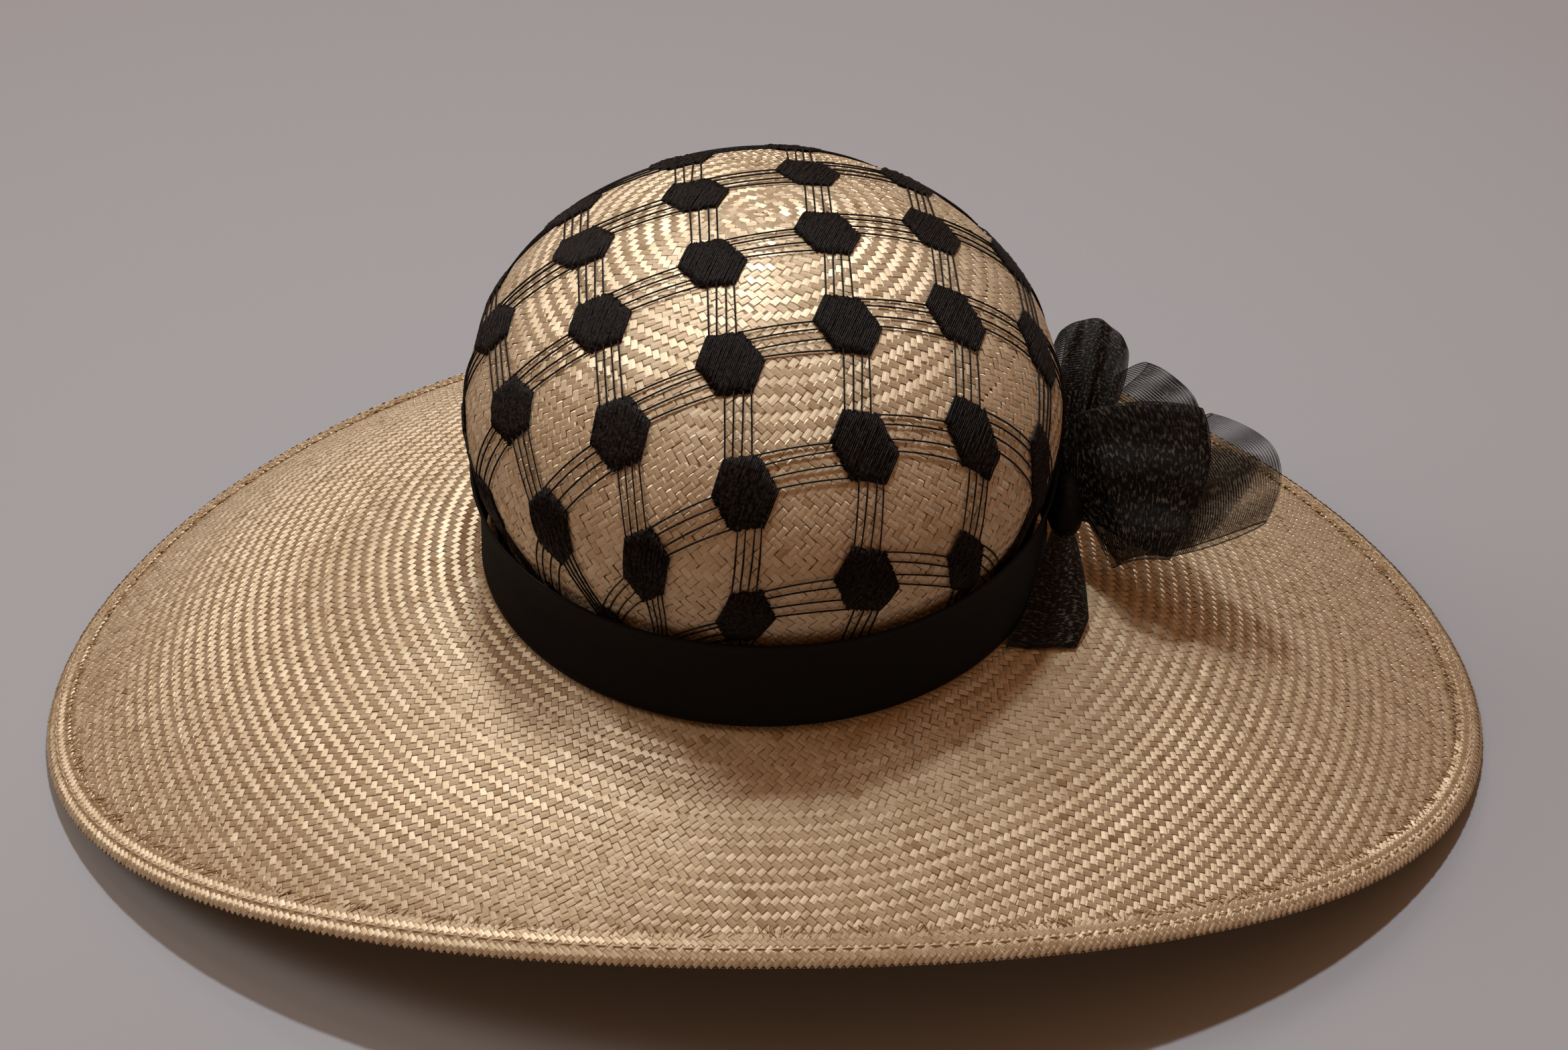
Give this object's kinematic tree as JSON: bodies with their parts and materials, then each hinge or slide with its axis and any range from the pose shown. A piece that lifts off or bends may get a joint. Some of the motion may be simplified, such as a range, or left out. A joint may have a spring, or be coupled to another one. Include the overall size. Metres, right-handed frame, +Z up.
{
  "type": "wide-brim straw hat",
  "caption": "Wide-brim straw hat: domed crown under a spotted net, oval brim that falls at both sides with a stitched hem, ribbon band and a sheer bow at one side.",
  "frame": {"origin": "middle of the hat's bounding box, at the surface that it stands on", "axes": "+Z up, +X across the brim to the viewer's right, where the bow is, and -Y to the front"},
  "size_m": [0.4729, 0.3673, 0.1959],
  "materials": {
    "straw": "silky woven straw",
    "net": "matt thread",
    "ribbon": "ribbed grosgrain",
    "sheer": "sheer organza"
  },
  "bodies": {
    "root": {"brim": "straw", "crown": "straw", "net_overlay": "net", "hat_band": "ribbon", "bow_knot": "sheer", "bow_loop_lower": "sheer", "bow_loop_front": "sheer", "bow_loop_middle": "sheer", "bow_loop_upper": "sheer", "bow_tail": "sheer"}
  },
  "joints": []
}
